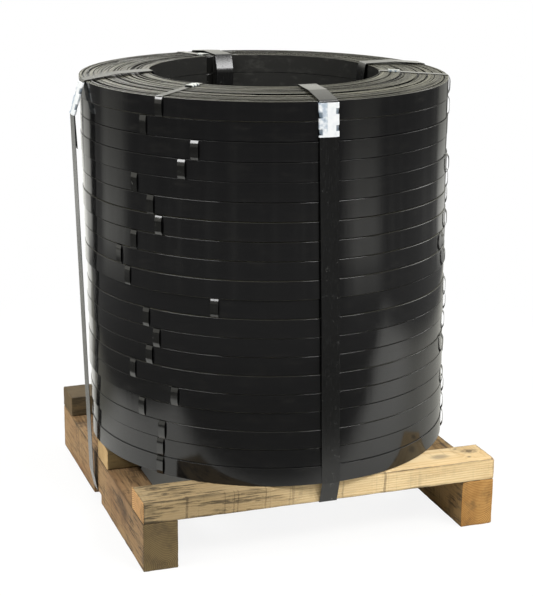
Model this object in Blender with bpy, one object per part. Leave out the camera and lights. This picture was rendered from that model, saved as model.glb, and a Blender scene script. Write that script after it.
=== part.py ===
# Twenty ribbon-wound coils of steel strapping, stacked on a small softwood pallet.
# Metres, +Z up, front towards -Y. The origin is on the floor, under the top coil's axis.
import math

import bmesh
import bpy
from mathutils import Matrix, Vector

# Wound coils
COIL_COUNT = 20
STRAP_WIDTH = 0.032
BORE_DIAMETER = 0.406
WINDING_DEPTH = 0.122
COIL_GAP = 0.0005
COIL_SIDES = 40
TOP_COIL_SIDES = 64
STACK_DRIFT = 0.011
TOP_DISH = 0.006
TURN_GROUPS = 10
TURN_GROUP_STEP = 0.0009

# Ties round each coil's section
TIE_WIDTH = 0.013
TIE_THICKNESS = 0.0008
TIE_BOW = 0.004
TIE_STATIONS = 5
TIES_PER_COIL = 3
TIE_SINK = 0.0025
TIE_SEAL_LENGTH = 0.024
TIE_SEAL_WIDTH = 0.017
TIE_SEAL_HEIGHT = 0.0025
TIE_SEAL_INSET = 0.012
TIE_SIDE_CLEARANCE = 0.002
TIE_AZIMUTHS = (-53, -53, -52, -60, -47, -63, -56, -53, -57, -34, -64, -68, -61, -51, -54, -60, -43, -39, -56, -50)

# Pallet
SIDE_INSET = 0.005
END_INSET = 0.020
PALLET_SHIFT = (0.009, -0.006)
BEARER_WIDTH = 0.060
BEARER_HEIGHT = 0.085
BOARD_WIDTH = 0.073
BOARD_THICKNESS = 0.038
MIDDLE_BOARD_Y = -0.028
WOOD_EDGE = 0.002
WANE = 0.007
NOTCH_Y = 0.015
NOTCH_WIDTH = 0.056
NOTCH_DEPTH = 0.018

# Binding straps and their seals
BINDING_WIDTH = 0.032
BINDING_THICKNESS = 0.0008
RIM_BEND = 0.0035
EDGE_BEND = 0.0012
BEND_STEPS = 3
STRAP_ARCH = 0.004
LEG_BOW = 0.003
SIDE_SLACK = 0.016
KNEE_SLACK = 0.008
KNEE_HEIGHT = 0.055
TAIL_LENGTH = 0.057
TAIL_DROOP = 0.0008
TAIL_SWING = 0.004
SEAL_LENGTH = 0.055
SEAL_WALL = 0.0009
SEAL_DROP = 0.002
SEAL_NOTCH_DEPTH = 0.0038
SEAL_NOTCH_WIDTH = 0.008
SEAL_NOTCH_PITCH = 0.027
SEAL_NOTCH_STAGGER = 0.006

# How far beside the stack's axis each strap runs: at the coils' rim, at the bore's rim and on the floor
FRONT_STRAP = (-0.005, 0.006, 0.0165)
RIGHT_STRAP = (0.045, 0.023, 0.0255)
BACK_STRAP = (0.018, 0.011, 0.018)
LEFT_STRAP = (0.0, -0.0335, -0.0250)

# Fits
TOUCH = 0.0003

BORE_RADIUS = BORE_DIAMETER / 2
COIL_RADIUS = BORE_RADIUS + WINDING_DEPTH
PALLET_LENGTH = 2 * (COIL_RADIUS - SIDE_INSET)
PALLET_DEPTH = 2 * (COIL_RADIUS - END_INSET)
PITCH = STRAP_WIDTH + COIL_GAP
DECK_UNDERSIDE = BEARER_HEIGHT + TOUCH
DECK_TOP = DECK_UNDERSIDE + BOARD_THICKNESS
STACK_BASE = DECK_TOP + TOUCH
STACK_TOP = STACK_BASE + COIL_COUNT * PITCH - COIL_GAP
SEAL_TOP = STACK_TOP - SEAL_DROP
SEAL_FOOT = SEAL_TOP - SEAL_LENGTH
STRAP_LAY = TOUCH + BINDING_THICKNESS / 2
INNER_LAYER = TOUCH + SEAL_WALL + STRAP_LAY
OUTER_LAYER = INNER_LAYER + BINDING_THICKNESS + TOUCH


def coil_base(level):
    return STACK_BASE + level * PITCH


def coil_drift(level):
    """Sideways place of a coil's axis: the stack leans a little as it rises."""
    return STACK_DRIFT * (1 - level / (COIL_COUNT - 1))


def coil_dish(level):
    """Height by which a coil's inner turns stand above its outer turns."""
    return TOP_DISH * level / (COIL_COUNT - 1)


def material(name, color, roughness, metallic=0.0):
    made = bpy.data.materials.new(name)
    made.use_nodes = True
    surface = made.node_tree.nodes["Principled BSDF"]
    surface.inputs["Base Color"].default_value = (*color, 1.0)
    surface.inputs["Roughness"].default_value = roughness
    surface.inputs["Metallic"].default_value = metallic
    return made


def add_object(name, mesh_builder, finish, smooth_angle=None):
    """Turn a bmesh into a named object with outward faces and its own material."""
    bmesh.ops.recalc_face_normals(mesh_builder, faces=mesh_builder.faces)
    mesh = bpy.data.meshes.new(name)
    mesh_builder.to_mesh(mesh)
    mesh_builder.free()
    mesh.materials.append(finish)
    if smooth_angle is not None:
        mesh.shade_smooth()
        mesh.set_sharp_from_angle(angle=math.radians(smooth_angle))
    made = bpy.data.objects.new(name, mesh)
    bpy.context.collection.objects.link(made)
    return made


def add_boolean(target, other, operation):
    """Cut or join with a second object, which stays as a guide only."""
    other.hide_render = True
    other.display_type = "WIRE"
    step = target.modifiers.new(operation.title(), "BOOLEAN")
    step.operation = operation
    step.solver = "EXACT"
    step.use_self = operation == "UNION"
    step.object = other


def strip_body(builder, path, thickness, width, frame):
    """Sweep a flat strip along a path of (out, side, up) points, its width along the side axis."""
    normals = []
    for point, following in zip(path, path[1:]):
        step = following - point
        normals.append(Vector((step.z, 0, -step.x)).normalized())
    rows = []
    for point, before, after in zip(path, normals[:1] + normals, normals + normals[-1:]):
        normal = (before + after).normalized()
        reach = thickness / 2 / max(normal.dot(before), 0.5)
        corners = []
        for face, edge in ((1, 1), (1, -1), (-1, -1), (-1, 1)):
            corner = point + normal * reach * face + Vector((0, edge * width / 2, 0))
            corners.append(builder.verts.new(frame @ corner))
        rows.append(corners)
    for row, following in zip(rows, rows[1:]):
        for corner in range(4):
            beside = (corner + 1) % 4
            builder.faces.new((row[corner], row[beside], following[beside], following[corner]))
    builder.faces.new(rows[0][::-1])
    builder.faces.new(rows[-1])


def block(builder, low, high, frame):
    """A box between two corners given in the frame's own axes."""
    size = [high[axis] - low[axis] for axis in range(3)]
    middle = [(high[axis] + low[axis]) / 2 for axis in range(3)]
    placing = frame @ Matrix.Translation(middle) @ Matrix.Diagonal((*size, 1.0))
    bmesh.ops.create_cube(builder, size=1.0, matrix=placing)


def radial_frame(azimuth, centre_x=0.0):
    """Axes out from the coil's axis, along its tangent and up, at an azimuth from the front."""
    return Matrix.Translation((centre_x, 0, 0)) @ Matrix.Rotation(math.radians(azimuth - 90), 4, "Z")


def rounded_path(route, steps):
    """Replace each inner corner of a polyline with a short arc of its own radius."""
    corners = [corner for corner, _ in route]
    path = [corners[0]]
    for before, (corner, radius), after in zip(corners, route[1:], corners[2:]):
        arriving = (corner - before).normalized()
        leaving = (after - corner).normalized()
        turn = arriving.angle(leaving)
        if turn < math.radians(12):
            path.append(corner)
            continue
        reach = min(radius * math.tan(turn / 2), (corner - before).length / 2.1, (after - corner).length / 2.1)
        bend = reach / math.tan(turn / 2)
        inward = (leaving - arriving * arriving.dot(leaving)).normalized()
        centre = corner - arriving * reach + inward * bend
        for step in range(steps + 1):
            angle = turn * step / steps
            path.append(centre + (arriving * math.sin(angle) - inward * math.cos(angle)) * bend)
    path.append(corners[-1])
    return path


def coil_section(level, turn_groups):
    """Outline of one wound coil as (radius, height) points, with turns stepped on its upper end."""
    base = coil_base(level)
    dish = coil_dish(level)
    outline = [(COIL_RADIUS, base), (COIL_RADIUS, base + STRAP_WIDTH)]
    group_width = WINDING_DEPTH / max(turn_groups, 1)
    for group in range(turn_groups):
        outer = COIL_RADIUS - group * group_width
        inner = outer - group_width
        sunk = TURN_GROUP_STEP if group % 2 else 0.0
        for radius in (outer, inner):
            share = (COIL_RADIUS - radius) / WINDING_DEPTH
            outline.append((radius, base + STRAP_WIDTH + dish * share - sunk))
    if turn_groups:
        outline.pop(1)
    else:
        outline.append((BORE_RADIUS, base + STRAP_WIDTH + dish))
    outline.append((BORE_RADIUS, base + dish))
    return outline


def wound_coil(name, level, finish):
    """One coil as a turned ring, joined with the three ties that hold its turns."""
    on_top = level == COIL_COUNT - 1
    sides = TOP_COIL_SIDES if on_top else COIL_SIDES
    outline = coil_section(level, TURN_GROUPS if on_top else 0)
    centre_x = coil_drift(level)
    builder = bmesh.new()
    points = [builder.verts.new((centre_x + radius, 0, height)) for radius, height in outline]
    edges = [builder.edges.new((points[i], points[(i + 1) % len(points)])) for i in range(len(points))]
    bmesh.ops.spin(
        builder, geom=points + edges, cent=(centre_x, 0, 0), axis=(0, 0, 1),
        angle=math.tau, steps=sides, use_merge=True)
    ring = add_object(name, builder, finish, smooth_angle=40)
    ties = bmesh.new()
    for number in range(TIES_PER_COIL):
        azimuth = clear_azimuth(TIE_AZIMUTHS[level] + number * 360 / TIES_PER_COIL, level)
        add_tie(ties, level, radial_frame(azimuth, centre_x), sides, on_top)
    add_boolean(ring, add_object(name + "_ties", ties, finish), "UNION")
    return ring


def clear_azimuth(azimuth, level):
    """Move a tie sideways where the back binding strap would cover it."""
    rim_side, bore_side, floor_side = BACK_STRAP
    height = coil_base(level)
    beside = [strap_side(top_side, floor_side, height) + coil_drift(level) for top_side in (rim_side, bore_side)]
    clear = (BINDING_WIDTH + TIE_SEAL_WIDTH) / 2 + TIE_SIDE_CLEARANCE
    near, far = min(beside) - clear, max(beside) + clear
    low = math.degrees(math.asin(near / (BORE_RADIUS if near < 0 else COIL_RADIUS)))
    high = math.degrees(math.asin(far / BORE_RADIUS))
    from_back = azimuth % 360 - 180
    if low < from_back < high:
        return 180 + (low if from_back - low < high - from_back else high)
    return azimuth


def add_tie(builder, level, frame, sides, on_top):
    """A narrow strap bowed out from the coil's face, drawn tight on its ends and in its bore."""
    base = coil_base(level)
    dish = coil_dish(level)
    top = base + STRAP_WIDTH
    flat = COIL_RADIUS * math.cos(math.pi / sides)
    half = TIE_THICKNESS / 2
    bowed = [Vector((flat - TIE_SINK, 0, base + half + TOUCH))]
    for station in range(TIE_STATIONS):
        share = station / (TIE_STATIONS - 1)
        out = flat - half + (TIE_BOW + half) * math.sin(math.pi * share) ** 0.6
        bowed.append(Vector((out, 0, base + half + TOUCH + (STRAP_WIDTH - 2 * half - 2 * TOUCH) * share)))
    bowed.append(Vector((flat - TIE_SINK, 0, top - half - TOUCH)))
    strip_body(builder, bowed, TIE_THICKNESS, TIE_WIDTH, frame)
    proud = BORE_RADIUS * math.cos(math.pi / sides) - TIE_THICKNESS
    low = base + dish + TOUCH
    high = top + dish - TOUCH
    block(builder, (proud, -TIE_WIDTH / 2, low), (proud + TIE_SINK, TIE_WIDTH / 2, high), frame)
    if on_top:
        add_top_run(builder, frame, top, dish)


def add_top_run(builder, frame, top, dish):
    """The stretch of a tie that crosses the top coil's upper end, with its crimped seal."""
    depth = TURN_GROUP_STEP + TIE_THICKNESS
    run = [Vector((COIL_RADIUS - TIE_SINK, 0, top)), Vector((BORE_RADIUS + TIE_SINK, 0, top + dish))]
    middle = [point + Vector((0, 0, TIE_THICKNESS - depth)) for point in run]
    strip_body(builder, middle, 2 * depth, TIE_WIDTH, frame)
    inner = BORE_RADIUS + TIE_SEAL_INSET
    height = top + dish
    block(
        builder, (inner, -TIE_SEAL_WIDTH / 2, height - depth),
        (inner + TIE_SEAL_LENGTH, TIE_SEAL_WIDTH / 2, height + TIE_SEAL_HEIGHT), frame)


def wood_section(width, height, wane):
    """Outline of a sawn board with eased corners; wane rounds the corner that faces forward and up."""
    outline = []
    corners = ((-1, -1, WOOD_EDGE), (1, -1, WOOD_EDGE), (1, 1, WOOD_EDGE), (-1, 1, wane))
    for across, up, ease in corners:
        centre = Vector((across * (width / 2 - ease), up * (height / 2 - ease)))
        start = math.atan2(up, across) - math.pi / 4
        steps = 3 if ease > WOOD_EDGE else 1
        for step in range(steps + 1):
            angle = start + math.pi / 2 * step / steps
            outline.append(centre + Vector((math.cos(angle), math.sin(angle))) * ease)
    return outline


def sawn_piece(name, outline, length, frame, finish):
    """Extrude a wood section along the frame's X axis."""
    builder = bmesh.new()
    ends = []
    for side in (-1, 1):
        ends.append([builder.verts.new(frame @ Vector((side * length / 2, p.x, p.y))) for p in outline])
    builder.faces.new(ends[0])
    builder.faces.new(ends[1][::-1])
    for index in range(len(outline)):
        beside = (index + 1) % len(outline)
        builder.faces.new((ends[0][index], ends[1][index], ends[1][beside], ends[0][beside]))
    return add_object(name, builder, finish)


def deck_board(name, middle_y, wane, finish):
    height = DECK_UNDERSIDE + BOARD_THICKNESS / 2
    frame = Matrix.Translation((PALLET_SHIFT[0], middle_y, height))
    return sawn_piece(name, wood_section(BOARD_WIDTH, BOARD_THICKNESS, wane), PALLET_LENGTH, frame, finish)


def bearer(name, side, finish):
    """A bearer on edge, with a notch in its underside for the side strap."""
    middle_x = PALLET_SHIFT[0] + side * (PALLET_LENGTH - BEARER_WIDTH) / 2
    turned = Matrix.Rotation(math.pi / 2, 4, "Z")
    frame = Matrix.Translation((middle_x, PALLET_SHIFT[1], BEARER_HEIGHT / 2)) @ turned
    beam = sawn_piece(name, wood_section(BEARER_WIDTH, BEARER_HEIGHT, WOOD_EDGE), PALLET_DEPTH, frame, finish)
    notch = bmesh.new()
    block(
        notch, (-BEARER_WIDTH, NOTCH_Y - NOTCH_WIDTH / 2, -NOTCH_DEPTH),
        (BEARER_WIDTH, NOTCH_Y + NOTCH_WIDTH / 2, NOTCH_DEPTH), Matrix.Translation((middle_x, 0, 0)))
    add_boolean(beam, add_object(name + "_notch", notch, finish), "DIFFERENCE")
    return beam


def strap_side(top_side, floor_side, height):
    """Sideways place of a leg that leans from one place at the stack's top to another on the floor."""
    return floor_side + (top_side - floor_side) * height / STACK_TOP


def face_reach(side):
    """Distance out from the axis at which a strap beside it lies flat against a coil's face."""
    return math.sqrt(COIL_RADIUS ** 2 - max(abs(side) - BINDING_WIDTH / 2, 0.0) ** 2)


def bore_reach(side):
    """Distance out from the axis at which a strap beside it clears the bore and the ties in it."""
    clear = math.sqrt(BORE_RADIUS ** 2 - (abs(side) + BINDING_WIDTH / 2) ** 2)
    return clear * math.cos(math.pi / COIL_SIDES) - TIE_THICKNESS


def strap_route(sides, top_out, bore_top, bore_base, under_inner, turns, seal_lean):
    """Corners of one binding strap as (out, side, up) points, each with the radius of its bend.

    The strap runs from the free end under its seal over the rim, down the bore, under the pallet and up again.
    The turns are the (out, up) places of its outer leg under the pallet, at its knee and halfway up.
    """
    rim_side, bore_side, floor_side = sides
    rim = STACK_TOP + TURN_GROUP_STEP + STRAP_LAY
    inner_rim = STACK_TOP + TOP_DISH + STRAP_LAY
    crossing_up = rim + TOP_DISH / 2 + STRAP_ARCH
    under = turns[0][1]
    foot_out = top_out + seal_lean * SEAL_LENGTH
    middle_out, middle_up = turns[-1]
    tail_slope = (foot_out + OUTER_LAYER - middle_out) / (SEAL_FOOT - middle_up)
    tail_out = foot_out + INNER_LAYER - tail_slope * TAIL_LENGTH - TAIL_DROOP

    def leg(out, up, bend, swing=0.0):
        return Vector((out, strap_side(rim_side, floor_side, up) + swing, up)), bend

    def bore_leg(out, up, bend):
        return Vector((out, strap_side(bore_side, floor_side, up), up)), bend

    route = [
        leg(tail_out, SEAL_FOOT - TAIL_LENGTH, RIM_BEND, TAIL_SWING),
        leg(foot_out + INNER_LAYER, SEAL_FOOT, RIM_BEND),
        leg(top_out + INNER_LAYER - seal_lean * (rim - SEAL_TOP), rim, RIM_BEND),
        (Vector(((top_out + bore_top) / 2, (rim_side + bore_side) / 2, crossing_up)), RIM_BEND),
        bore_leg(bore_top - STRAP_LAY, inner_rim + STRAP_ARCH / 2, RIM_BEND),
        bore_leg(min(bore_base, under_inner) - STRAP_LAY, STACK_BASE, EDGE_BEND),
        bore_leg(under_inner - STRAP_LAY, under, EDGE_BEND),
    ]
    route += [leg(out, up, EDGE_BEND) for out, up in turns]
    route.append(leg(foot_out + OUTER_LAYER, SEAL_FOOT, RIM_BEND))
    route.append(leg(top_out + OUTER_LAYER, SEAL_TOP, RIM_BEND))
    return route


def binding(name, azimuth, sides, span, member_width, under_height, slack, black, zinc):
    """One binding strap round the coils' section and a wooden member, and the seal that joins its ends."""
    rim_side, bore_side, floor_side = sides
    turned = math.radians(azimuth)
    lean_out = STACK_DRIFT * math.sin(turned)
    base_side = floor_side - STACK_DRIFT * math.cos(turned)
    under_outer = span / 2 + PALLET_SHIFT[0] * math.sin(turned) - PALLET_SHIFT[1] * math.cos(turned)
    top_out = face_reach(rim_side)
    seal_lean = (COIL_RADIUS + slack - top_out) / SEAL_LENGTH
    if slack:
        knee = (under_outer + STRAP_LAY + KNEE_SLACK, KNEE_HEIGHT)
    else:
        knee = (max(face_reach(base_side) + lean_out, under_outer) + STRAP_LAY, STACK_BASE)
    middle_out = (knee[0] + COIL_RADIUS + slack + OUTER_LAYER) / 2 + max(LEG_BOW - slack, 0.0)
    turns = (
        (under_outer + STRAP_LAY, under_height - STRAP_LAY),
        knee,
        (middle_out, (knee[1] + SEAL_FOOT) / 2),
    )
    route = strap_route(
        sides, top_out, bore_reach(bore_side), bore_reach(base_side) + lean_out,
        under_outer - member_width, turns, seal_lean)

    frame = radial_frame(azimuth)
    builder = bmesh.new()
    strip_body(builder, rounded_path(route, BEND_STEPS), BINDING_THICKNESS, BINDING_WIDTH, frame)
    strap = add_object("binding_strap_" + name, builder, black, smooth_angle=35)
    seal_frame = frame @ leaning(rim_side, (floor_side - rim_side) / STACK_TOP, seal_lean)
    seal = crimped_seal("strap_seal_" + name, top_out, seal_frame, zinc)
    notches = seal_notches(name, top_out, seal_frame, black)
    add_boolean(strap, notches, "DIFFERENCE")
    add_boolean(seal, notches, "DIFFERENCE")


def leaning(side, side_slope, out_slope):
    """A shear that moves points sideways and out the further they are below the stack's top."""
    return Matrix((
        (1, 0, -out_slope, out_slope * SEAL_TOP),
        (0, 1, -side_slope, side + side_slope * STACK_TOP),
        (0, 0, 1, 0),
        (0, 0, 0, 1)))


def seal_box(out, grow):
    """Corners of the seal, grown or shrunk by a distance across its wall, in the strap's frame."""
    middle = out + (INNER_LAYER + OUTER_LAYER) / 2
    half_depth = BINDING_THICKNESS + TOUCH * 1.5 + grow
    half_width = BINDING_WIDTH / 2 + TOUCH + grow
    low = (middle - half_depth, -half_width, SEAL_FOOT)
    high = (middle + half_depth, half_width, SEAL_TOP)
    return low, high


def crimped_seal(name, out, frame, finish):
    """A flattened steel sleeve closed round both layers of the strap."""
    builder = bmesh.new()
    low, high = seal_box(out, SEAL_WALL)
    block(builder, low, high, frame)
    sleeve = add_object(name, builder, finish)
    hollow = bmesh.new()
    low, high = seal_box(out, 0.0)
    block(hollow, (low[0], low[1], low[2] - SEAL_WALL), (high[0], high[1], high[2] + SEAL_WALL), frame)
    add_boolean(sleeve, add_object(name + "_hollow", hollow, finish), "DIFFERENCE")
    return sleeve


def seal_notches(name, out, frame, finish):
    """Wedges that cut two staggered pairs of crimp notches into the seal's edges and the strap inside."""
    builder = bmesh.new()
    low, high = seal_box(out, SEAL_WALL)
    middle = (low[2] + high[2]) / 2
    for side in (-1, 1):
        edge = side * high[1]
        for pair in (-0.5, 0.5):
            height = middle + pair * SEAL_NOTCH_PITCH - (SEAL_NOTCH_STAGGER if side < 0 else 0.0)
            tip = edge - side * SEAL_NOTCH_DEPTH
            mouth = edge + side * SEAL_WALL
            wedge = [(tip, height), (mouth, height + SEAL_NOTCH_WIDTH / 2), (mouth, height - SEAL_NOTCH_WIDTH / 2)]
            ends = []
            for depth in (low[0] - TOUCH / 2, high[0] + SEAL_WALL):
                ends.append([builder.verts.new(frame @ Vector((depth, across, up))) for across, up in wedge])
            builder.faces.new(ends[0])
            builder.faces.new(ends[1][::-1])
            for index in range(3):
                beside = (index + 1) % 3
                builder.faces.new((ends[0][index], ends[1][index], ends[1][beside], ends[0][beside]))
    return add_object("seal_notches_" + name, builder, finish)


def build():
    for old in list(bpy.data.objects):
        bpy.data.objects.remove(old, do_unlink=True)
    steel = material("coil_steel", (0.045, 0.045, 0.042), 0.38, 0.3)
    black = material("strap_black", (0.025, 0.025, 0.024), 0.35, 0.2)
    zinc = material("seal_zinc", (0.62, 0.65, 0.67), 0.35, 1.0)
    pine = material("deck_pine", (0.60, 0.43, 0.24), 0.75)
    rough = material("bearer_pine", (0.42, 0.29, 0.15), 0.8)

    bearer("bearer_left", -1, rough)
    bearer("bearer_right", 1, rough)
    edge_y = (PALLET_DEPTH - BOARD_WIDTH) / 2
    deck_board("deck_board_front", PALLET_SHIFT[1] - edge_y, WANE, pine)
    deck_board("deck_board_middle", MIDDLE_BOARD_Y, WOOD_EDGE, pine)
    deck_board("deck_board_back", PALLET_SHIFT[1] + edge_y, WOOD_EDGE, pine)

    for level in range(COIL_COUNT):
        wound_coil(f"coil_{level + 1:02d}", level, steel)

    finishes = (black, zinc)
    binding("front", 0, FRONT_STRAP, PALLET_DEPTH, BOARD_WIDTH, DECK_UNDERSIDE, 0.0, *finishes)
    binding("back", 180, BACK_STRAP, PALLET_DEPTH, BOARD_WIDTH, DECK_UNDERSIDE, 0.0, *finishes)
    binding("right", 90, RIGHT_STRAP, PALLET_LENGTH, BEARER_WIDTH, NOTCH_DEPTH, SIDE_SLACK, *finishes)
    binding("left", -90, LEFT_STRAP, PALLET_LENGTH, BEARER_WIDTH, NOTCH_DEPTH, SIDE_SLACK, *finishes)


build()
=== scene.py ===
import math
import random

import bpy
from mathutils import Matrix, Vector


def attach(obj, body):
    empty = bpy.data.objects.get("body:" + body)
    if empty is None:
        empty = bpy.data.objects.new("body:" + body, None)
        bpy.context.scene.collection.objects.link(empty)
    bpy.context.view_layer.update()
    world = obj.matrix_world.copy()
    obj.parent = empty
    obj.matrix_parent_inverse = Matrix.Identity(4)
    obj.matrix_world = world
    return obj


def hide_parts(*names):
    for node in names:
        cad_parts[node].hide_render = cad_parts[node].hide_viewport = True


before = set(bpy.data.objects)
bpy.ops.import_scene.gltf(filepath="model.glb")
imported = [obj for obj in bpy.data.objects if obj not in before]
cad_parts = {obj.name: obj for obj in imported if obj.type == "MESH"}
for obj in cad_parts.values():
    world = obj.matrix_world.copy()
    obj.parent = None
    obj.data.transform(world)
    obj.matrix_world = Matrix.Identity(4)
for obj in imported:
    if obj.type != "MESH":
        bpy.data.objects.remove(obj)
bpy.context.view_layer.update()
scene = bpy.context.scene
print("frame loaded:", len(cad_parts), "nodes")


class Wire:  # an output socket; arithmetic on it adds Math nodes
    def __init__(self, bench, socket):
        self.bench, self.socket = bench, socket

    def maths(self, operation, *others):
        return self.bench.node("ShaderNodeMath", (self, *others), operation=operation)

    def __rsub__(self, other):
        return self.bench.node("ShaderNodeMath", (other, self), operation="SUBTRACT")

    def pick(self, name):  # another output of the same node
        found = [s for s in self.socket.node.outputs if s.enabled and s.name == name]
        return Wire(self.bench, found[0])


for method, operation in {
        "__add__": "ADD", "__radd__": "ADD", "__sub__": "SUBTRACT", "__mul__": "MULTIPLY",
        "__rmul__": "MULTIPLY", "__truediv__": "DIVIDE", "__pow__": "POWER", "__gt__": "GREATER_THAN",
        "__lt__": "LESS_THAN", "atLeast": "MAXIMUM", "atMost": "MINIMUM"}.items():
    setattr(Wire, method, lambda self, other, operation=operation: self.maths(operation, other))


class Bench:  # fills one node tree; a kind without Node in it is one of the tree's own
    def __init__(self, tree):
        self.tree, self.prefix = tree, tree.bl_idname.replace("Tree", "")
        tree.nodes.clear()

    def node(self, kind, sockets=(), **settings):
        made = self.tree.nodes.new(kind if "Node" in kind else self.prefix + kind)
        for name, value in settings.items():
            setattr(made, name, value)
        pairs = sockets.items() if isinstance(sockets, dict) else enumerate(sockets)
        for key, value in pairs:
            shown = [s for s in made.inputs if s.enabled]
            if isinstance(key, int):
                place = shown[key]
            else:
                place = next(s for s in shown if key in (s.name, s.identifier))
            if isinstance(value, Wire):
                self.tree.links.new(value.socket, place)
            else:
                place.default_value = value
        shown = [s for s in made.outputs if s.enabled]
        return Wire(self, shown[0]) if shown else made

    def xyz(self, x, y, z):
        return self.node("ShaderNodeCombineXYZ", (x, y, z))

    def split(self, vector):
        x = self.node("ShaderNodeSeparateXYZ", (vector,))
        return x, x.pick("Y"), x.pick("Z")

    def noise(self, vector, scale, detail=2.0, rough=0.5):
        return self.node("ShaderNodeTexNoise", {
            "Vector": vector, "Scale": scale, "Detail": detail, "Roughness": rough})

    def blend(self, factor, colourA, colourB):
        sockets = {"Factor_Float": factor, "A_Color": colourA, "B_Color": colourB}
        return self.node("ShaderNodeMix", sockets, data_type="RGBA")

    def between(self, value, low, high, toLow=0.0, toHigh=1.0, kind="SMOOTHSTEP"):
        sockets = {"Value": value, "From Min": low, "From Max": high, "To Min": toLow, "To Max": toHigh}
        return self.node("ShaderNodeMapRange", sockets, interpolation_type=kind)

    def near(self, value, middle, reach, soft):  # 1 within reach of the middle, fading over soft
        return self.between((value - middle).maths("ABSOLUTE"), reach, reach + soft, 1.0, 0.0)

    def stored(self, name):  # in a material, a number that a mesh keeps
        return self.node("ShaderNodeAttribute", attribute_name=name).pick("Fac")

    def named(self, name, kind="FLOAT"):  # the same in a geometry tree
        return self.node("InputNamedAttribute", (name,), data_type=kind)

    def keep(self, geometry, name, value):  # store a number on every point for the materials
        sockets = {"Geometry": geometry, "Name": name, "Value": value}
        return self.node("StoreNamedAttribute", sockets, data_type="FLOAT", domain="POINT")

    def moved(self, geometry, x, y, z, centre):
        spot = self.node("ShaderNodeVectorMath", (self.xyz(x, y, z), centre))
        return self.node("SetPosition", {"Geometry": geometry, "Position": spot})

    def finish(self, geometry, finish, degrees):  # smooth but for edges that turn more than that
        smooth = self.node("SetShadeSmooth", {"Geometry": geometry, "Shade Smooth": True})
        sharp = self.node("InputMeshEdgeAngle") > math.radians(degrees)
        sockets = {"Geometry": smooth, "Selection": sharp, "Shade Smooth": False}
        solid = self.node("RealizeInstances", (self.node("SetShadeSmooth", sockets, domain="EDGE"),))
        return self.node("SetMaterial", {"Geometry": solid, "Material": finish})


def spread(*sides):  # the length of a vector with those sides
    return sum(side * side for side in sides).maths("SQRT")


def rgb(red, green, blue):  # sRGB 0-255 to a linear colour
    linear = [c / 255 / 12.92 if c <= 10 else ((c / 255 + 0.055) / 1.055) ** 2.4 for c in (red, green, blue)]
    return (*linear, 1.0)


def shapeTree(name, inputs):  # inputs holds the kinds of sockets, with the names of each kind
    tree = bpy.data.node_groups.new(name, "GeometryNodeTree")
    tree.interface.new_socket("Geometry", in_out="INPUT", socket_type="NodeSocketGeometry")
    for kind, labels in inputs.items():
        for label in labels:
            tree.interface.new_socket(label, in_out="INPUT", socket_type="NodeSocket" + kind)
    tree.interface.new_socket("Geometry", in_out="OUTPUT", socket_type="NodeSocketGeometry")
    b = Bench(tree)
    return b, b.node("NodeGroupInput").pick


def grow(name, tree, values, base=None):  # run a tree and keep its result as a plain mesh
    piece = bpy.data.objects.new(name, base or bpy.data.meshes.new(name))
    scene.collection.objects.link(piece)
    step = piece.modifiers.new("shape", "NODES")
    step.node_group = tree
    for item in tree.interface.items_tree:
        if item.in_out == "INPUT" and item.name in values:
            step[item.identifier] = values[item.name]
    shaped = piece.evaluated_get(bpy.context.evaluated_depsgraph_get())
    result = bpy.data.meshes.new_from_object(shaped)
    piece.modifiers.clear()
    result.name = name
    piece.data = result
    return piece


def declare(piece, slotName, *nodes):
    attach(piece, "root")
    if nodes:
        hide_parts(*nodes)


def newMaterial(name):
    made = bpy.data.materials.new(name)
    made.use_nodes = True
    b = Bench(made.node_tree)
    return made, b, b.node("TexCoord").pick("Object")


def finishMaterial(b, colour, rough, height, looks, shine=None, metallic=0.0):
    strength, distance = looks["bump"]
    normal = b.node("Bump", {"Strength": strength, "Distance": distance, "Height": height})
    shader = b.node("BsdfPrincipled", {
        "Base Color": colour, "Metallic": metallic, "Roughness": rough, "Normal": normal,
        "Specular IOR Level": looks["shine"] if shine is None else shine})
    b.node("OutputMaterial", {"Surface": shader})


stack = dict(
    coils=20, boreRadius=0.203, coilRadius=0.325, strapWidth=0.032, pitch=0.0325, base=0.1236,
    drift=0.011, dish=0.006, shift=0.0006, loose=0.0016, flare=0.0005, seed=7,
    lap=0.0009, lapTurn=-0.8, bevel=0.00025, brightBevel=0.0007, underBevel=(0.0003, 0.0013),
    # the top coil's end shows its turns, the other ends are hidden
    topTurns=118, topSegments=184, topCrowd=1.0, plainTurns=6, plainSegments=144, plainCrowd=2.2,
    turnRise=0.0006, groupRise=0.0017, gapDepth=0.0012, grooveDepth=0.0040,
    # rounder upper corners that catch the light, with a lighter edge colour on top as a painted highlight, by
    # the coil's number from the top
    bright={6: 0.9, 7: 0.5, 8: 0.7, 9: 0.9, 10: 0.8, 12: 0.6, 13: 0.3, 14: 0.9, 15: 0.4, 16: 0.5, 18: 0.6,
            19: 0.3},
)
topLevel = stack["coils"] - 1
stackTop = stack["base"] + topLevel * stack["pitch"] + stack["strapWidth"]
coilLooks = dict(  # noises: scale, detail, roughness; pairs: where a mark starts and where it is full
    draw=(16.0, 4.0, 0.55), flats=(70.0, 2.0), scuffs=(55.0, 6.0, 0.65), waxed=(0.50, 0.76),
    drawn=(0.5, 0.8), paint=rgb(18, 18, 19), worn=rgb(37, 36, 34), gloss=0.07, shine=0.45,
    bump=(0.3, 0.0006), dusty=rgb(66, 66, 63), dustRadius=(0.225, 0.215),
)
edgeLooks = dict(
    groups=(3.0, 0.6), dust=(60.0, 5.0, 0.6), lit=(0.38, 0.62), dusted=(0.5, 0.75), dark=rgb(36, 35, 29),
    # sunk: a painted shade colour for turn tops lying low in grooves and gaps
    light=rgb(96, 94, 78), dustTint=rgb(112, 109, 92), sunk=rgb(14, 14, 12), plain=rgb(15, 15, 14),
    gloss=0.40, shine=0.4, bump=(0.6, 0.0005),
)


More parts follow.
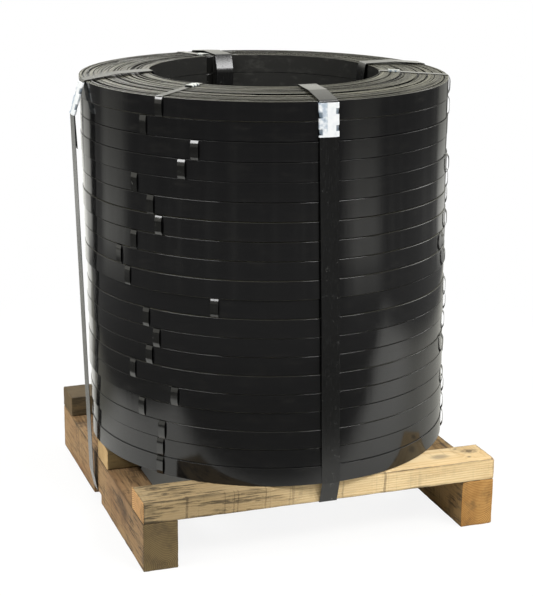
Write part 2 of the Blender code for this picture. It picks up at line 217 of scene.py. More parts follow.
def coilPaint():  # black waxed paint on the flat of the strap
    looks = coilLooks
    made, b, place = newMaterial("coilPaint")
    x, y, z = b.split(place)
    arc = y.maths("ARCTAN2", x) * stack["coilRadius"]
    level = ((z - stack["base"]) / stack["pitch"]).maths("FLOOR")
    draw = b.noise(b.xyz(arc * 0.35, z * 60.0, level), *looks["draw"])  # long marks of the rolls
    flats = b.noise(b.xyz(arc, z * 0.1, level * 3.7), *looks["flats"])
    scuffs = b.noise(b.xyz(arc * 0.4, z, level * 1.3), *looks["scuffs"])
    tone = b.noise(b.xyz(level * 9.1, 0.3, 0.7), 1.0, 0.0)  # one value for each coil
    wax = b.between(scuffs, *looks["waxed"])
    colour = b.blend(wax * 0.35 + b.between(draw, *looks["drawn"]) * 0.25, looks["paint"], looks["worn"])
    inBore = b.between(spread(x, y), *looks["dustRadius"])
    colour = b.blend(inBore * (0.32 + wax * 0.4), colour, looks["dusty"])
    gloss = looks["gloss"] + draw * 0.04 + wax * 0.08 + tone * 0.03
    finishMaterial(b, colour, gloss, flats * 0.8 + draw * 0.05, looks)
    return made


def turnEdges():  # sheared edges of the turns: paint rubbed thin, dusty wax in between; painted shade on turns and gaps that lie sunk, and a painted highlight on the top edges of lower coils
    looks = edgeLooks
    made, b, place = newMaterial("turnEdges")
    x, y, _ = b.split(place)
    radius, angle = spread(x, y), y.maths("ARCTAN2", x)
    groups = b.noise(b.xyz(radius * 150.0, angle * 0.5, 0.0), 1.0, *looks["groups"])
    turns = b.noise(b.xyz(radius * 900.0, angle * 1.2, 0.0), 1.0)
    dust = b.noise(place, *looks["dust"])
    light = b.between(groups * 0.55 + turns * 0.45, *looks["lit"])
    colour = b.blend(light, looks["dark"], looks["light"])
    colour = b.blend(b.between(dust, *looks["dusted"]) * 0.35, colour, looks["dustTint"])
    # painted shade: turn tops sunk in grooves and gaps go near to black
    colour = b.blend(b.stored("sunk"), colour, looks["sunk"])
    # the lighter turn-edge colour: on the top coil its own end, on lower coils a painted highlight along the
    # top edge, near-black elsewhere
    colour = b.blend(1.0 - b.stored("topFaceAndGlint"), colour, looks["plain"])
    finishMaterial(b, colour, looks["gloss"] + dust * 0.2, turns + groups, looks)
    return made


turnShape = dict(
    strapShare=0.80, gapShare=0.09,  # of one turn's pitch: the strap's edge and the step down beside it
    columnsBelow=6, nudge=0.0001,  # the nudge keeps whole numbers whole when they are rounded down
    opened=(0.5, 0.7), openLeast=0.35, openMost=2.2, grooved=(0.57, 0.61), hem=0.0004,
    # sunk: how deep a turn top lies where the painted shade starts and where it is full
    underSlope=1.6, lapSteepness=180.0, sunk=(0.0010, 0.0050), sharp=50, faceUp=0.35,
)


def coilTree():
    b, pick = shapeTree("woundCoil", {
        "Int": ("Turns", "Segments"), "Vector": ("Centre",),
        "Float": ("Outer Radius", "Base Height", "Dish", "Lap Angle", "Bevel", "Under Bevel", "Flare",
                  "Crowd", "Shows Turns", "Open Face", "Seed")})
    shape = turnShape
    turns, segments, seed = pick("Turns"), pick("Segments"), pick("Seed")
    outer, bore, dish = pick("Outer Radius"), stack["boreRadius"], pick("Dish")
    baseHeight = pick("Base Height")
    columns, rows = turns * 3 + shape["columnsBelow"], segments + 1
    grid = b.node("MeshGrid", {"Vertices X": columns, "Vertices Y": rows})
    index = b.node("InputIndex")
    column = (index / rows + shape["nudge"]).maths("FLOOR")
    angle = (1.0 - (index - column * rows) / segments) * math.tau
    sine, cosine = angle.maths("SINE"), angle.maths("COSINE")

    def at(first, last):  # 1 on those columns of the section
        return (column > first - 0.5) * (column < last + 0.5)

    place = (column - shape["columnsBelow"]).atLeast(0.0).atMost(turns * 3 - 2)
    turn = (place / 3.0 + shape["nudge"]).maths("FLOOR")
    phase = place - turn * 3.0
    isGap = phase > 1.5
    step = phase.atMost(1.0) * shape["strapShare"] + isGap * shape["gapShare"]
    share = ((turn + step) / (turns - (1 - shape["strapShare"]))) ** pick("Crowd")
    inward = share * (outer - bore)
    slow = b.noise(b.xyz(turn * 0.16, sine * 0.5, seed), 1.0, 2.0) - 0.5
    fast = b.noise(b.xyz(turn * 7.31, cosine * 0.4, seed), 1.0, 0.0) - 0.5
    opened = b.noise(b.xyz(turn * 3.17, sine * 1.1, cosine * 1.1), 1.0, 1.0)
    grooved = b.noise(b.xyz(turn * 0.23, sine * 0.22, cosine * 0.22), 1.0, 0.0)
    showing = pick("Shows Turns")
    inside = (turn / 2.0).atMost(1.0) * (turns - 1.0 - turn).atMost(1.0) * showing
    rise = (slow * stack["groupRise"] * 2.0 + fast * stack["turnRise"] * 2.0) * inside
    opening = shape["openLeast"] + b.between(opened, *shape["opened"]) * shape["openMost"]
    groove = b.between(grooved, *shape["grooved"]) * inside * stack["grooveDepth"]
    sink = groove + stack["gapDepth"] * showing * opening * isGap
    corner, underCorner = pick("Bevel"), pick("Under Bevel")
    atBoreFoot = at(0, 0) + at(columns - 1, columns - 1)
    atUnder, atFoot = at(1, 1), at(2, 2)
    atHem = at(3, 3)  # keeps the strap flat up to the corner
    atShoulder = at(4, 6)
    atTop = 1.0 - atBoreFoot - atUnder - atFoot
    turned = (column - 4.0) * (math.pi / 4)  # round the upper corner
    beyond = (1.0 - atShoulder - atHem) * (place < 2.5)
    inset = corner * ((1.0 - turned.maths("COSINE")) * atShoulder + beyond)
    fall = corner * (1.0 - turned.maths("SINE")) * atShoulder + (corner + shape["hem"]) * atHem
    topHeight = baseHeight + stack["strapWidth"] + dish * share + rise - sink - fall
    height = topHeight * atTop + baseHeight + dish * atBoreFoot + underCorner * atFoot - baseHeight * atTop
    foot = outer + pick("Flare")
    under = foot - underCorner * shape["underSlope"]
    radius = (outer - inward - inset) * atTop + foot * atFoot + under * atUnder + bore * atBoreFoot
    lapShare = ((angle - pick("Lap Angle")) / math.tau + 2.0).maths("FRACT")
    radius = radius - stack["lap"] * lapShare.atMost((1.0 - lapShare) * shape["lapSteepness"])
    shaped = b.moved(grid, radius * sine, radius * cosine * -1.0, height, pick("Centre"))
    # how much painted shade each sunk turn top takes
    shaped = b.keep(shaped, "sunk", b.between(sink, *shape["sunk"]) * atTop)
    shaped = b.keep(shaped, "topFaceAndGlint", pick("Open Face"))
    shaped = b.keep(shaped, "shoulder", atShoulder)
    closed = b.node("MergeByDistance", {"Geometry": shaped, "Distance": 1e-6})
    up = b.split(b.node("InputNormal"))[2].maths("ABSOLUTE")
    solid = b.finish(closed, coilPaint(), shape["sharp"])
    onEdge = (up > shape["faceUp"]) * (b.named("shoulder") < 0.75)
    solid = b.node("SetMaterial", {"Geometry": solid, "Selection": onEdge, "Material": turnEdges()})
    b.node("NodeGroupOutput", (solid,))
    return b.tree


def coilPlace(level):  # the stack leans, and every coil is a little off the one below
    dice = random.Random(stack["seed"] + level * 13)
    onTop, rise = level == topLevel, level / topLevel
    kind = "top" if onTop else "plain"
    shift = 0.0 if onTop else stack["shift"]
    drift = stack["drift"] * (1 - rise)
    bright = stack["bright"].get(stack["coils"] - level, 0.0)
    return {
        "Drift": drift, "Centre": (drift + dice.uniform(-shift, shift), dice.uniform(-shift, shift), 0.0),
        "Flare": dice.uniform(-stack["flare"], stack["flare"]),
        "Outer Radius": stack["coilRadius"] - dice.uniform(0.0, stack["loose"]),
        "Under Bevel": dice.uniform(*stack["underBevel"]), "Dish": stack["dish"] * rise,
        "Bevel": stack["bevel"] + stack["brightBevel"] * bright,
        "Base Height": stack["base"] + level * stack["pitch"],
        "Turns": stack[kind + "Turns"], "Segments": stack[kind + "Segments"], "Crowd": stack[kind + "Crowd"],
        # on lower coils this top-edge colour share is a painted highlight
        "Shows Turns": float(onTop), "Open Face": 1.0 if onTop else bright, "Seed": 3.1 * level,
    }


tie = dict(
    width=0.0135, thickness=0.0005, stations=14, cornerBend=0.0012, footBend=0.0008,
    foot=0.0004, drop=0.0006, lift=0.00025, topLift=0.0012, sag=0.00022,
    rimIn=0.0015, boreIn=0.002, boreGap=0.0004, boreEnd=0.001, backRoom=0.0105,
    # where each coil's first tie sits, bottom coil first, and how far it bulges
    azimuths=(-53, -53, -52, -60, -47, -63, -56, -53, -57, -34,
              -64, -68, -61, -51, -54, -60, -43, -39, -56, -50),
    bulges=(.8, .8, .9, .7, 1., .6, .9, .7, .7, 1., .6, .6, .6, 1., .7, .6, 1., 1., .6, .9),
    otherBulges=(0.7, 1.1), bow=0.0036, bowPower=4, bowEnd=0.02, seed=5,
    sealLength=0.020, sealInset=0.016, sealWall=0.0007, sealLift=0.0016, sealRoom=0.0004,
)
woundCoil = coilTree()
for level in range(stack["coils"]):
    lapAngle = math.radians(tie["azimuths"][level] + stack["lapTurn"])
    piece = grow(f"woundCoil{level + 1:02d}", woundCoil, {**coilPlace(level), "Lap Angle": lapAngle})
    declare(piece, "coil_steel", f"coil_{level + 1:02d}")
print("coils wound")


bandLooks = dict(
    streaks=(120.0, 3.0), rub=(85.0, 6.0, 0.7), chips=(420.0, 2.0), worn=(0.58, 0.72),
    flaked=(0.63, 0.67), streaked=(0.45, 0.8), bare=rgb(126, 126, 122), bump=(0.25, 0.0004),
    # darkest and lightest paint, roughness, shine
    tiePaint=(rgb(18, 18, 17), rgb(46, 46, 43), 0.14, 0.6),
    strapPaint=(rgb(18, 18, 18), rgb(60, 61, 61), 0.20, 0.4),
)


def bandPaint(name):  # black waxed strap, scratched where it was tensioned
    looks = bandLooks
    dark, light, rough, shine = looks[name]
    made, b, place = newMaterial(name)
    x, y, z = b.split(place)
    streak = b.noise(b.xyz(x * 8.0, y * 8.0, z * 0.6), *looks["streaks"])
    rub, chip = b.noise(place, *looks["rub"]), b.noise(place, *looks["chips"])
    worn = b.between(rub, *looks["worn"])
    flaked = b.between(rub * 0.6 + chip * 0.4, *looks["flaked"])
    colour = b.blend(worn * 0.4 + b.between(streak, *looks["streaked"]) * 0.2, dark, light)
    colour = b.blend(flaked * 0.7, colour, looks["bare"])
    finishMaterial(b, colour, rough + worn * 0.12, rub, looks, shine)
    return made


def bandTree():
    b, pick = shapeTree("flatBand", {"Float": ("Width", "Thickness"), "Material": ("Finish",)})
    line = b.node("MeshToCurve", (pick("Geometry"),))
    fillet = {"Curve": line, "Count": 5, "Radius": b.named("bend"), "Limit Radius": True}
    line = b.node("FilletCurve", fillet, mode="POLY")
    across = b.named("across", "FLOAT_VECTOR")
    line = b.node("SetCurveNormal", {"Curve": line, "Normal": across}, mode="FREE")
    section = b.node("CurvePrimitiveQuadrilateral", {
        "Width": pick("Width"), "Height": pick("Thickness")})
    fillet = {"Curve": section, "Count": 1, "Radius": pick("Thickness") * 0.3, "Limit Radius": True}
    section = b.node("FilletCurve", fillet, mode="POLY")
    band = b.node("CurveToMesh", {"Curve": line, "Profile Curve": section, "Fill Caps": True})
    b.node("NodeGroupOutput", (b.finish(band, pick("Finish"), 25),))
    return b.tree


def pathMesh(name, runs):  # runs of (points, bends, across, closed) as one mesh of edges
    points, links, bends, sideways = [], [], [], []
    for run, radii, across, closed in runs:
        first = len(points)
        points += run
        bends += radii
        sideways += [across] * len(run)
        links += [(first + i, first + i + 1) for i in range(len(run) - 1)]
        if closed:
            links.append((first + len(run) - 1, first))
    mesh = bpy.data.meshes.new(name)
    mesh.from_pydata(points, links, [])
    mesh.attributes.new("bend", "FLOAT", "POINT").data.foreach_set("value", bends)
    flat = [value for vector in sideways for value in vector]
    mesh.attributes.new("across", "FLOAT_VECTOR", "POINT").data.foreach_set("vector", flat)
    return mesh


def radialFrame(azimuth, centre=(0, 0, 0)):  # X points out of the coil at that azimuth, Y along its side
    return Matrix.Translation(centre) @ Matrix.Rotation(math.radians(azimuth - 90), 4, "Z")


strap = dict(
    width=0.032, thickness=0.0008, touch=0.0003, rimBend=0.0035, edgeBend=0.0012, arch=0.004,
    overTies=0.0009, fallBend=0.03, rimFall=0.026, legBow=0.003, sideSlack=0.016,
    kneeSlack=0.008, kneeHeight=0.055, tailLength=0.057, tailDroop=0.0008, tailSwing=0.004,
    boreSides=40, tieRoom=0.0008,
)
seal = dict(
    length=0.055, wall=0.0009, drop=0.002, notchDeep=0.0062, notchTall=0.0100, pitch=0.027,
    stagger=0.006, press=0.0011, pinch=0.0010, flapAt=-0.0035, flapStep=0.0005,
    crown=0.0003,
)
pallet = dict(
    shiftX=0.009, shiftY=-0.006, length=0.640, depth=0.610, boardWidth=0.073,
    boardThick=0.038, bearerWidth=0.060, bearerHeight=0.085, middleY=-0.028,
    notchY=0.015, notchWidth=0.056, notchDepth=0.018,
)
deckUnder = pallet["bearerHeight"] + strap["touch"]
acrossBoards = (pallet["depth"], pallet["boardWidth"], deckUnder, 0.0)
acrossBearers = (pallet["length"], pallet["bearerWidth"], pallet["notchDepth"], strap["sideSlack"])
# azimuth, sides at the outer rim, bore rim and floor, span, width of what it grips, height under it,
# slack outside the coils, slack below the bore's rim
bindings = {
    "front": (0, (-0.005, 0.006, 0.0165), *acrossBoards, 0.002),
    "back": (180, (0.018, 0.011, 0.018), *acrossBoards, 0.013),
    "right": (90, (0.045, 0.023, 0.0255), *acrossBearers, 0.004),
    "left": (-90, (0.0, -0.0335, -0.0250), *acrossBearers, 0.003),
}
strapLay = strap["touch"] + strap["thickness"] / 2
innerLayer = strap["touch"] + seal["wall"] + strapLay
outerLayer = innerLayer + strap["thickness"] + strap["touch"]
sealTop = stackTop - seal["drop"]
sealFoot = sealTop - seal["length"]


def tieLoop(level, azimuth, bow):
    spot = coilPlace(level)
    base, dish = spot["Base Height"], spot["Dish"]
    out, bore, top = spot["Outer Radius"], stack["boreRadius"], base + stack["strapWidth"]
    half = tie["thickness"] / 2
    lift = tie["topLift"] if level == topLevel else tie["lift"]
    corner, foot, sag = tie["cornerBend"], tie["foot"], tie["sag"]
    run, bends = [], []
    for station in range(tie["stations"] + 1):
        share = station / tie["stations"]
        swelled = min(max(share, tie["bowEnd"]), 1 - tie["bowEnd"])
        swell = bow * (1.0 - abs(2.0 * swelled - 1.0) ** tie["bowPower"])
        run.append((out + half + swell, base + foot + (stack["strapWidth"] - tie["drop"] - foot) * share))
        bends.append(0.0)
    rimIn, boreIn, inside = out - tie["rimIn"], bore + tie["boreIn"], bore - half - tie["boreGap"]
    run += [(rimIn, top + lift), ((out + bore) / 2, top + lift + dish / 2), (boreIn, top + dish + lift)]
    run += [(inside, top + dish - tie["boreEnd"]), (inside, base + dish + tie["boreEnd"])]
    run += [(boreIn, base + dish - sag), (rimIn, base - sag)]
    bends += [corner, 0.0, corner, corner, corner, corner, tie["footBend"]]
    placing = radialFrame(azimuth, spot["Centre"])
    across = placing.to_3x3() @ Vector((0, 1, 0))
    return [placing @ Vector((a, 0, b)) for a, b in run], bends, across, True


def tieAzimuths(level):  # three a coil, kept clear of the back binding strap
    middle = bindings["back"][1][1] + coilPlace(level)["Drift"]
    clear = strap["width"] / 2 + tie["backRoom"]
    near, far = middle - clear, middle + clear
    low = math.degrees(math.asin(near / stack["boreRadius" if near < 0 else "coilRadius"]))
    high = math.degrees(math.asin(far / stack["boreRadius"]))
    found = []
    for number in range(3):
        azimuth = tie["azimuths"][level] + number * 120
        fromBack = azimuth % 360 - 180
        if low < fromBack < high:
            azimuth = 180 + (low if fromBack - low < high - fromBack else high)
        found.append(azimuth)
    return found


flatBand = bandTree()
loops = []
dice = random.Random(tie["seed"])
for level in range(stack["coils"]):
    for number, azimuth in enumerate(tieAzimuths(level)):
        bulge = tie["bulges"][level] if number == 0 else dice.uniform(*tie["otherBulges"])
        loops.append(tieLoop(level, azimuth, tie["bow"] * bulge))
ties = grow("coilTies", flatBand, {
    "Width": tie["width"], "Thickness": tie["thickness"], "Finish": bandPaint("tiePaint")},
    pathMesh("tiePaths", loops))
declare(ties, "coil_steel")
print("ties laid")


def faceReach(side):  # how far out the coil's face is at a strap's nearer edge
    return math.sqrt(stack["coilRadius"] ** 2 - max(abs(side) - strap["width"] / 2, 0.0) ** 2)


def boreReach(side):
    clear = math.sqrt(stack["boreRadius"] ** 2 - (abs(side) + strap["width"] / 2) ** 2)
    return clear * math.cos(math.pi / strap["boreSides"]) - strap["tieRoom"]


def bindingPath(azimuth, sides, span, gripped, underHeight, slack, boreSlack):
    rimSide, boreSide, floorSide = sides
    turned = math.radians(azimuth)
    leanOut = stack["drift"] * math.sin(turned)
    baseSide = floorSide - stack["drift"] * math.cos(turned)
    underOuter = span / 2 + pallet["shiftX"] * math.sin(turned) - pallet["shiftY"] * math.cos(turned)
    underInner = underOuter - gripped
    topOut = faceReach(rimSide)
    lean = (stack["coilRadius"] + slack - topOut) / seal["length"]
    if slack:
        knee = (underOuter + strapLay + strap["kneeSlack"], strap["kneeHeight"])
    else:
        knee = (max(faceReach(baseSide) + leanOut, underOuter) + strapLay, stack["base"])
    middleOut = (knee[0] + stack["coilRadius"] + slack + outerLayer) / 2 + max(strap["legBow"] - slack, 0.0)
    middleUp = (knee[1] + sealFoot) / 2
    boreTop, boreBase = boreReach(boreSide), boreReach(baseSide) + leanOut
    rim, innerRim = stackTop + strap["overTies"] + strapLay, stackTop + stack["dish"] + strapLay
    footOut = topOut + lean * seal["length"]
    tailSlope = (footOut + outerLayer - middleOut) / (sealFoot - middleUp)
    tailOut = footOut + innerLayer - tailSlope * strap["tailLength"] - strap["tailDroop"]
    under = underHeight - strapLay
    rimBend, edgeBend = strap["rimBend"], strap["edgeBend"]

    def leg(out, up, bend, swing=0.0, topSide=rimSide):  # leans sideways between the rim and the floor
        return (out, floorSide + (topSide - floorSide) * up / stackTop + swing, up), bend

    def boreLeg(out, up, bend):
        return leg(out, up, bend, topSide=boreSide)

    archTop = ((topOut + boreTop) / 2, (rimSide + boreSide) / 2, rim + stack["dish"] / 2 + strap["arch"])
    corners = [
        leg(tailOut, sealFoot - strap["tailLength"], rimBend, strap["tailSwing"]),
        leg(footOut + innerLayer, sealFoot, rimBend),
        leg(topOut + innerLayer - lean * (rim - sealTop), rim, rimBend),
        (archTop, rimBend),
        boreLeg(boreTop - strapLay, innerRim + strap["arch"] / 2, rimBend),
        boreLeg(boreTop - strapLay - boreSlack, innerRim - strap["rimFall"], strap["fallBend"]),
        boreLeg(min(boreBase, underInner) - strapLay, stack["base"], edgeBend),
        boreLeg(underInner - strapLay, under, edgeBend),
        leg(underOuter + strapLay, under, edgeBend),
        leg(*knee, edgeBend),
        leg(middleOut, middleUp, edgeBend),
        leg(footOut + outerLayer, sealFoot, rimBend),
        leg(topOut + outerLayer, sealTop, rimBend),
    ]
    placing = radialFrame(azimuth)
    across = placing.to_3x3() @ Vector((0, 1, 0))
    sideSlope = (floorSide - rimSide) / stackTop
    shear = Matrix((
        (1, 0, -lean, lean * sealTop), (0, 1, -sideSlope, rimSide + sideSlope * stackTop), (0, 0, 1, 0),
        (0, 0, 0, 1)))
    middle = topOut + (innerLayer + outerLayer) / 2
    sealAxes = Matrix(((0, 1, 0, middle), (1, 0, 0, 0), (0, 0, 1, sealFoot), (0, 0, 0, 1)))
    points = [placing @ Vector(corner) for corner, _ in corners]
    return placing @ shear @ sealAxes, (points, [bend for _, bend in corners], across, False)


strapFinish = bandPaint("strapPaint")
sealPlaces = {}
for name, layout in bindings.items():
    sealPlaces[name], run = bindingPath(*layout)
    piece = grow("bindingStrap" + name.title(), flatBand, {
        "Width": strap["width"], "Thickness": strap["thickness"], "Finish": strapFinish},
        pathMesh(name + "Path", [run]))
    declare(piece, "strap_black", "binding_strap_" + name)
print("binding straps laid")

zincLooks = dict(
    spangle=260.0, patch=(110.0, 4.0, 0.6), cloud=(42.0, 3.0), dulled=(0.42, 0.60),
    stained=(0.60, 0.70), stain=rgb(96, 108, 120), crimp=rgb(88, 104, 118),
    metallic=0.15, shine=0.5, rough=0.42, bump=(0.35, 0.0004),
    # crimp: a painted shade colour for the pressed notches
    galvanised=(rgb(240, 242, 244), rgb(152, 170, 188)), tieZinc=(rgb(176, 178, 172), rgb(92, 96, 98)),
)


def zincCoat(name):  # pale and clean on the overlapping flap, a painted highlight; dull and patchy beside it
    looks = zincLooks
    pale, grey = looks[name]
    made, b, place = newMaterial(name)
    flap = b.stored("flap")
    spangle = b.node("TexVoronoi", {"Vector": place, "Scale": looks["spangle"]})
    shade = b.node("SeparateColor", (spangle.pick("Color"),))
    patch, cloud = b.noise(place, *looks["patch"]), b.noise(place, *looks["cloud"])
    # painted highlight: dulling and staining are kept off the flap
    dull = b.between(patch * 0.6 + cloud * 0.4, *looks["dulled"]) * (1.0 - flap * 0.85)
    colour = b.blend(dull * 0.8, pale, grey)
    stained = b.between(patch, *looks["stained"]) * 0.5 * (1.0 - flap * 0.8)
    colour = b.blend(stained, colour, looks["stain"])
    # painted shade: the pressed notches are darkened
    colour = b.blend(b.stored("crimp") * 0.9, colour, looks["crimp"])
    rough = looks["rough"] + dull * 0.12 + shade * 0.06
    finishMaterial(b, colour, rough, patch + shade * 0.2, looks, metallic=looks["metallic"])
    return made


crimping = dict(
    soft=0.5, cornerGrowth=0.6, cornerShare=0.9,  # shares of the seal's wall
    columns=18, rows=30, rollFrom=0.93, biteLeast=0.75, biteGrowth=0.5, backPress=-0.6,
    roundAngles=(15, 45, 75), sharp=30,
)


def sleeveRing(halfWide, halfDeep, corner, columns):  # one loop of points round a flattened sleeve
    flat, deep = halfWide - corner, halfDeep - corner
    turns = [(math.sin(math.radians(t)), math.cos(math.radians(t))) for t in crimping["roundAngles"]]
    half = [(share * flat, halfDeep) for share in columns]
    half += [(flat + corner * s, deep + corner * c) for s, c in turns]
    half += [(flat + corner * c, -deep - corner * s) for s, c in turns]
    return half + [(-a, -d) for a, d in half]


def crimpedSleeves(name, places, spec, finish):
    halfWide, halfDeep, wall, length = spec["halfWide"], spec["halfDeep"], spec["wall"], spec["length"]
    soft, halfNotch = wall * crimping["soft"], spec["notchTall"] / 2
    notches = []
    for sign in (-1, 1):
        for pair in (-0.5, 0.5):
            notches.append((sign, length / 2 + pair * spec["pitch"] - (spec["stagger"] if sign < 0 else 0.0)))
    inset = halfWide + wall - spec["notchDeep"]
    marks = [sign * (inset + bit) / halfWide for sign in (-1, 1) for bit in (0.0, soft)]
    marks += [spec["flapAt"] / halfWide, (spec["flapAt"] + soft) / halfWide]
    marks += [i / (crimping["columns"] / 2) - 1 for i in range(crimping["columns"] + 1)]
    columns = sorted({round(v, 4) for v in marks})
    rows = [length * i / crimping["rows"] for i in range(crimping["rows"] + 1)]
    for _, middle in notches:
        rows += [middle + side * (halfNotch + bit) for side in (-1, 1) for bit in (0.0, -soft)]
    rows = sorted({round(v, 6) for v in rows})

    def pressed(a, d, v, outer):  # a across the seal, d out of it, v along it
        bite = 0.0
        for sign, middle in notches:
            inX = min(max((sign * a - inset) / soft, 0.0), 1.0)
            inY = min(max((halfNotch - abs(v - middle)) / soft, 0.0), 1.0)
            lower = 0.5 - (v - middle) / spec["notchTall"]
            bite = max(bite, inX * inY * (crimping["biteLeast"] + crimping["biteGrowth"] * lower))
        roll = halfWide * crimping["rollFrom"]
        edge = max(abs(a) - roll, 0.0) / (halfWide - roll + wall)
        side = 1.0 if d > 0 else crimping["backPress"]
        shift = -spec["press"] * bite * side * (abs(d) > halfDeep * 0.5)
        crown = spec["crown"] * (1 - (a / (halfWide + wall)) ** 2) if d > 0 else 0.0
        flap = min(max((a - spec["flapAt"]) / soft, 0.0), 1.0) if d > 0 else 0.0
        step = spec["flapStep"] * flap * outer * (1.0 - edge)
        pinched = a - math.copysign(spec["pinch"] * bite * edge, a)
        # the last value marks the pressed notches for their painted shade
        return pinched, d + shift + crown + step, flap, min(bite, 1.0)

    points, flaps, crimps, faces = [], [], [], []
    for place in places:
        first = len(points)
        for outer in (1, 0):
            corner = (min(halfDeep, wall) + wall * outer * crimping["cornerGrowth"]) * crimping["cornerShare"]
            ring = sleeveRing(halfWide + wall * outer, halfDeep + wall * outer, corner, columns)
            for v in rows:
                for a, d in ring:
                    a2, d2, flap, crimp = pressed(a, d, v, outer)
                    points.append(place @ Vector((a2, d2, v)))
                    flaps.append(flap)
                    crimps.append(crimp)
        around, inner = len(ring), len(rows) * len(ring)
        last = first + (len(rows) - 1) * around
        for i in range(around):
            j = (i + 1) % around
            for low in range(first, last, around):
                high = low + around
                faces.append((low + i, high + i, high + j, low + j))
                faces.append((low + inner + j, high + inner + j, high + inner + i, low + inner + i))
            faces.append((first + i, first + j, first + inner + j, first + inner + i))
            faces.append((last + j, last + i, last + inner + i, last + inner + j))
    if places[0].to_3x3().determinant() > 0:
        faces = [tuple(reversed(face)) for face in faces]
    mesh = bpy.data.meshes.new(name)
    mesh.from_pydata(points, [], faces)
    mesh.attributes.new("flap", "FLOAT", "POINT").data.foreach_set("value", flaps)
    mesh.attributes.new("crimp", "FLOAT", "POINT").data.foreach_set("value", crimps)
    mesh.materials.append(finish)
    mesh.shade_smooth()
    mesh.set_sharp_from_angle(angle=math.radians(crimping["sharp"]))
    piece = bpy.data.objects.new(name, mesh)
    scene.collection.objects.link(piece)
    return piece


zinc = zincCoat("galvanised")
bindingSleeve = dict(
    seal, halfWide=strap["width"] / 2 + strap["touch"], halfDeep=strap["thickness"] + strap["touch"] * 1.5)
for name, place in sealPlaces.items():
    piece = crimpedSleeves("crimpedSeal" + name.title(), [place], bindingSleeve, zinc)
    declare(piece, "seal_zinc", "strap_seal_" + name)

tieSleeve = dict(
    length=tie["sealLength"], wall=tie["sealWall"], halfWide=tie["width"] / 2 + tie["sealRoom"],
    halfDeep=0.0010, notchDeep=0.0035, notchTall=0.0036, pitch=0.009, stagger=0.0018,
    press=0.0012, pinch=0.0011, flapAt=-0.001, flapStep=0.0003, crown=0.0005,
)
start = stack["boreRadius"] + tie["sealInset"]
slope = -stack["dish"] / (stack["coilRadius"] - stack["boreRadius"])
height = stackTop + stack["dish"] + slope * tie["sealInset"] + tie["sealLift"]
# across the tie, up from the coil's end, and out along the tie
tieAxes = Matrix(((0, 0, 1, start), (1, 0, 0, 0), (0, 1, slope, height), (0, 0, 0, 1)))
topCentre = coilPlace(topLevel)["Centre"]
tieSpots = [radialFrame(azimuth, topCentre) @ tieAxes for azimuth in tieAzimuths(topLevel)]
declare(crimpedSleeves("tieSeals", tieSpots, tieSleeve, zincCoat("tieZinc")), "seal_zinc")
print("seals crimped")


wood = dict(
    edge=0.0018, rough=0.0006, wane=0.006, crowdAlong=1.25, crowdAcross=1.6, sharp=42,
    boardCells=(190, 20, 12), bearerCells=(180, 18, 22), worn=0.012, swell=0.004, sway=0.004,
    cut=rgb(74, 60, 44), knot=rgb(50, 42, 36), smudge=rgb(104, 96, 84), knotDeep=0.03,
    gloss=0.72, shine=0.25, bump=(0.7, 0.0010), endSkin=(0.0016, 0.0008),
)
grain = dict(  # noises of the wood: change along, across and up the timber, detail, roughness
    wander=(2.2, 8.0, 8.0, 2.0, 0.5), waver=(3.0, 30.0, 30.0, 3.0, 0.5), fibre=(14.0, 420.0, 420.0, 4.0, 0.6),
    coarse=(19.0, 210.0, 210.0, 4.0, 0.65), blotch=(5.0, 14.0, 14.0, 4.0, 0.6),
    grime=(9.0, 26.0, 26.0, 6.0, 0.65), saw=(260.0, 5.0, 5.0, 2.0, 0.5), nick=(95.0, 3.0, 3.0, 0.0, 0.5),
    sway=(3.0, 8.0, 45.0, 2.0, 0.5),
)


